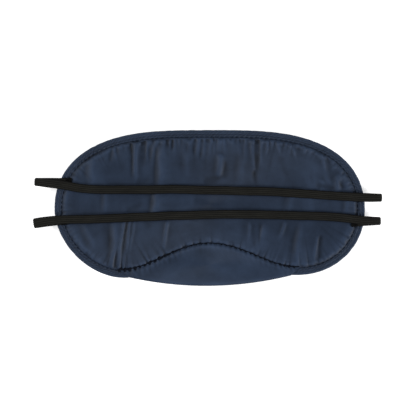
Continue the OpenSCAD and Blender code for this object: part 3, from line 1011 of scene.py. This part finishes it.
def make_flap():
    """A leaf pressed flat along its seam, full in its middle and thin at its edge and its ends."""
    columns, rows = 236, 48
    u = np.linspace(-1, 1, columns + 1)
    t = np.linspace(0, 1, rows + 1)
    v = 0.5 * smooth(t) + 0.5 * t
    x = FLAP_HALF_W * np.tile(u, (rows + 1, 1))
    low_y = flap_low_y(x)
    high_y = seam_y(x) + 0.1
    y = low_y + (high_y - low_y) * v[:, None]
    to_edge = y - low_y
    to_seam = high_y - y
    thin = smooth(to_edge / 1.8) * smooth((to_seam + 0.15) / 1.7)
    full = (FLAP_HIGH - FLAP_LOW) / 2
    middle = (FLAP_HIGH + FLAP_LOW) / 2 - 0.1
    ends = 1 - 0.75 * smooth((np.abs(x) - 44) / 14)
    half = EDGE_HALF + (full - EDGE_HALF) * thin ** 0.7 * ends
    beat = 0.5 + 0.5 * np.cos(2 * np.pi * (x + FLAP_HALF_W) / STITCH_PITCH)
    pucker = seam_weight(x) * np.exp(-to_seam / 1.8) * (0.25 - 0.5 * beat)
    gathers = 0.24 * seam_weight(x) * np.exp(-to_seam / 3.0) * wave_noise(x + 0.5 * y, y, 15, 6, 40, 3)
    soft = 0.3 * wave_noise(x, y, 41, 42, 26, 2) * smooth(to_seam / 5) * smooth(to_edge / 4)
    press = -(full - 0.1) * (1 - smooth((to_seam + 0.1) / 2.8))
    # The two ends come down to rest on the binding
    rest = middle - RIM_HIGH[2] - 0.4
    middle = middle - rest * smooth((np.abs(x) - 46) / 11)
    top = middle + half + press + (pucker + gathers) * smooth(to_edge / 2) + soft
    low = middle - half + press * 0.9
    low = np.maximum(low, RIM_HIGH[2] + EDGE_HALF)
    top = np.maximum(top, low + 0.3)
    plan = np.stack([x, y], axis=-1).reshape(-1, 2)
    index = np.arange(x.size).reshape(x.shape)
    faces = np.stack([index[:-1, :-1], index[:-1, 1:], index[1:, 1:], index[1:, :-1]], axis=-1)
    faces = faces.reshape(-1, 4).tolist()
    piece = slab_piece("nose_flap", plan, faces, low.ravel(), top.ravel(), to_seam.ravel())
    mark_hollows(piece)
    plies = ("front", "wadding", "lining")
    nodes = [f"flap_{ply}_{part}" for ply in plies for part in ("base", "leaf")]
    finished(piece, FLAP_SATIN, "satin_flap", *nodes, body=None)
    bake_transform(piece)


def make_flap_stitches():
    """A running thread in the groove of the seam, and a drawn-in loop across it at each stitch."""
    x = np.linspace(-FLAP_HALF_W, FLAP_HALF_W, 500)
    line = np.stack([x, seam_y(x) + 0.15], axis=1)
    places, ways = evenly(line, STITCH_PITCH, False)
    z = RIM_HIGH[2] + 0.25
    parts = []
    rng = np.random.default_rng(6)
    for place, way in zip(places, ways):
        weight = float(seam_weight(place[0])) * rng.uniform(0.65, 1.25)
        parts.append(stitch(place, way, z, STITCH_PITCH + 0.4, 0.3 + 0.8 * weight, 0.4))
        cross = unit(left(way) + rng.normal(0.5, 0.2) * way)
        spot = place - way * STITCH_PITCH / 2 - left(way) * 0.25
        parts.append(stitch(spot, cross, z + 0.15, 2.3 * weight, 1.05 * weight, 0.6))
    piece = new_piece("flap_seam_stitches", *joined(parts))
    finished(piece, NAVY_THREAD, "thread_navy", "flap_stitches")


# ---- Elastic straps ----

RIBS = 4
STRAP_RUN = 230
STRAP_SEEDS = {"upper": 51, "lower": 52}


def elastic_profile(per_rib=6, edge_r=0.35):
    """Cross-section of the ribbed elastic, anticlockwise: across, up, and how far up a rib, which sets
    its painted shade.
    """
    span = STRAP_W - 2 * edge_r
    t = np.linspace(0, 1, RIBS * per_rib + 1)
    across = span * (t - 0.5)
    rib = np.abs(np.sin(np.pi * RIBS * t)) ** 0.7
    face = STRAP_T / 2 - 0.2 + 0.2 * rib
    # How far up a rib, lowered towards the edges and 0 round them: the elastic paints shade by it.
    rib = (0.12 + 0.88 * rib) * (1 - 0.45 * np.abs(2 * t - 1) ** 3)
    turn = np.linspace(-0.5, 0.5, 7)[1:-1] * np.pi
    bare = np.zeros(len(turn))
    right = np.stack([span / 2 + edge_r * np.cos(turn), 0.3 * np.sin(turn), bare], axis=1)
    upper = np.stack([across[::-1], face[::-1], rib[::-1]], axis=1)
    lower = np.stack([across, -face, rib], axis=1)
    return np.vstack([right, upper, right * (-1, -1, 1), lower])


def curve_through(route, per_span):
    """A smooth curve through all the points of a route."""
    p = np.array(route, float)
    t = np.linspace(0, 1, per_span, endpoint=False)[:, None]
    out = []
    for i in range(len(p) - 1):
        a, b, c, d = p[max(i - 1, 0)], p[i], p[i + 1], p[min(i + 2, len(p) - 1)]
        out.append((2 * b + (c - a) * t + (2 * a - 5 * b + 4 * c - d) * t ** 2
                    + (3 * b - a - 3 * c + d) * t ** 3) / 2)
    return np.vstack([*out, p[-1:]])


def run_rings(line, side, section):
    rings = np.empty((len(line), len(section), 3))
    rings[..., :2] = line[:, None] + side[:, None] * section[None, :, :1]
    rings[..., 2] = RUN_Z + section[None, :, 1]
    return rings


def band_marks(rings, section, start=0.0):
    """Marks for the elastic: along it, across it, and how far up a rib, which sets its painted shade."""
    steps = np.linalg.norm(np.diff(rings.mean(axis=1), axis=0), axis=1)
    s = start + np.concatenate([[0], np.cumsum(steps)])
    marks = np.empty_like(rings)
    marks[..., 0] = s[:, None]
    marks[..., 1] = section[None, :, 0]
    marks[..., 2] = section[None, :, 2] if section.shape[1] > 2 else 0.0
    return marks.reshape(-1, 3)


def capped(rings, marks):
    """An open tube with its marks, and a mark for each cap's middle point."""
    verts, faces = tube(rings)
    n = rings.shape[1]
    return verts, faces, np.vstack([marks, marks[:n].mean(axis=0), marks[-n:].mean(axis=0)])


def rubber_sections():
    reach = (STRAP_W - 1.1) / 2
    turn = np.linspace(0, 2 * np.pi, 8, endpoint=False)
    circle = 0.19 * np.stack([np.cos(turn), np.sin(turn)], axis=1)
    return [circle + [reach * (2 * i / 5 - 1), 0] for i in range(6)]


def strap_line(name):
    """The strap's middle line with a slight natural wander, and its sideways normals."""
    line = even(curve_through(ROUTES[name], 24), 400, False)
    share = np.linspace(0, 1, len(line))
    place = share * STRAP_RUN
    wander = wave_noise(place, place, STRAP_SEEDS[name], 60, 60, 3)
    wander = wander * smooth(share / 0.12) * smooth((1 - share) / 0.12)
    line = line + unit(left(np.gradient(line, axis=0))) * (0.22 * wander)[:, None]
    return line, unit(left(np.gradient(line, axis=0)))


# How much wider or narrower each strap is at the tip of its fold
TIP_WIDTH = {"upper_left": 0.94, "upper_right": 0.95, "lower_left": 1.15, "lower_right": 0.95}
TIP_REACH = 7.0


def tip_width(name, hand, distance):
    """Width of a strap at a distance from its tip, as a share of its usual width."""
    return 1 + (TIP_WIDTH[f"{name}_{hand}"] - 1) * np.exp(-(distance / TIP_REACH) ** 2)


def make_run(name):
    """The part of a strap between its folds, in two halves that meet at the middle."""
    body = f"{name}_strap"
    line, side = strap_line(name)
    middle = int(np.argmin(np.abs(line[:, 0])))
    section = elastic_profile()
    halves = {"left": slice(0, middle + 1), "right": slice(middle, len(line))}
    for hand, half in halves.items():
        before = line[:middle + 1] if hand == "right" else line[:1]
        start = float(np.linalg.norm(np.diff(before, axis=0), axis=1).sum())
        tip = line[0] if hand == "left" else line[-1]
        wide = tip_width(name, hand, np.linalg.norm(line - tip, axis=1))
        rings = run_rings(line[half], side[half] * wide[half, None], section)
        sheath = new_piece(f"{name}_strap_{hand}", *capped(rings, band_marks(rings, section, start)))
        cores = []
        for core in rubber_sections():
            rings = run_rings(line[half], side[half], core)
            cores.append(capped(rings, band_marks(rings, core)))
        threads = new_piece(f"{name}_rubber_{hand}", *joined(cores))
        for piece, material, slot_name, node in (
            (sheath, ELASTIC, "elastic_black", "_sheath"),
            (threads, RUBBER, "rubber_thread", "_threads"),
        ):
            nodes = [body + node] if hand == "left" else []
            finished(piece, material, slot_name, *nodes, body=None)
            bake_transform(piece)


def make_end(name, hand):
    """A sewn end: out from the binding, round the fold, to the start of the run."""
    line, _ = strap_line(name)
    tip, after = (line[0], line[1]) if hand == "left" else (line[-1], line[-2])
    fold = np.array([*tip, SEWN_Z + FOLD_R])
    sewn_a, sewn_l = SEWN[f"{name}_{hand}"]
    run_a = math.degrees(math.atan2(after[1] - tip[1], after[0] - tip[0]))
    run_a -= 360 * round((run_a - sewn_a) / 360)
    # How far round the fold, how far along the sewn layer, and the direction there
    stations = [(-90.0, s, sewn_a) for s in np.linspace(sewn_l, 0, 30)[:-1]]
    stations += [(180 * t - 90, 0.0, sewn_a + (run_a - sewn_a) * t) for t in np.linspace(0, 1, 17)]
    section = elastic_profile()
    rings = []
    for phi, s, a in stations:
        way = np.array([*heading(a), 0])
        across = np.array([*left(way), 0])
        flat, rise = heading(phi)
        out = -way * flat + np.array([0, 0, rise])
        centre = fold + way * s + out * FOLD_R
        near_tip = flat ** 2 if s == 0 else 0.0
        wide = tip_width(name, hand, s)
        bow = 0.5 * near_tip * (2 * section[:, 0] / STRAP_W) ** 4
        rings.append([
            centre + across * q[0] * wide + out * q[1] + way * b for q, b in zip(section, bow)
        ])
    rings = np.array(rings)
    piece = new_piece(f"{name}_{hand}_folded_end", *capped(rings, band_marks(rings, section)))
    finished(piece, ELASTIC, "elastic_black", f"{name}_strap_{hand}_end")


BARTACK_ROWS = 11


def make_bartacks():
    """Zigzag stitches that hold each sewn layer to the binding."""
    parts = []
    for name, route in ROUTES.items():
        for hand, fold in (("left", route[0]), ("right", route[-1])):
            angle, length = SEWN[f"{name}_{hand}"]
            way = heading(angle)
            for i in range(BARTACK_ROWS):
                slant = unit(left(way) + way * (0.16 if i % 2 else -0.16))
                place = fold + way * (length - 3.6 + 0.36 * i)
                parts.append(stitch(place, slant, SEWN_Z + STRAP_T / 2, 6.4, 0.42, 0.22))
    piece = new_piece("strap_bartack_stitches", *joined(parts))
    finished(piece, BLACK_THREAD, "thread_black", "strap_bartacks")


# ---- Floor and light ----


def make_stage():
    corners = [(-1, -1, 0), (1, -1, 0), (1, 1, 0), (-1, 1, 0)]
    floor = plain_object("floor", corners, [(0, 1, 2, 3)], scale=3.0)
    floor.location.z = -0.0002
    floor.data.materials.append(Maker("pale_floor").surface(
        Base_Color=(0.92, 0.92, 0.92, 1), Roughness=0.9, Specular_IOR_Level=0.0,
        Emission_Color=(1, 1, 1, 1), Emission_Strength=0.6,
    ))


def add_softbox(name, place, size, watts):
    data = bpy.data.lights.new(name, "AREA")
    settle(data, shape="RECTANGLE", size=size[0], size_y=size[1], energy=watts)
    light = bpy.data.objects.new(name, data)
    light.location = place
    light.rotation_euler = (-Vector(place)).to_track_quat("-Z", "Y").to_euler()
    bpy.context.collection.objects.link(light)


def make_light():
    world = bpy.data.worlds.new("studio")
    world.use_nodes = True
    background = world.node_tree.nodes["Background"].inputs
    background["Color"].default_value = (1, 1, 1, 1)
    background["Strength"].default_value = 0.27
    bpy.context.scene.world = world
    add_softbox("softbox_key", (2.5, -1.25, 1.6), (1.05, 1.2), 84.0)
    add_softbox("softbox_fill", (-1.3, 0.4, 1.2), (0.9, 1.3), 17.5)
    bpy.context.scene.view_settings.view_transform = "Standard"


make_inner_plies()
make_lining()
make_front_cover()
make_binding()
make_binding_stitches()
make_flap()
make_flap_stitches()
for strap in ROUTES:
    make_run(strap)
    make_end(strap, "left")
    make_end(strap, "right")
make_bartacks()
make_stage()
make_light()
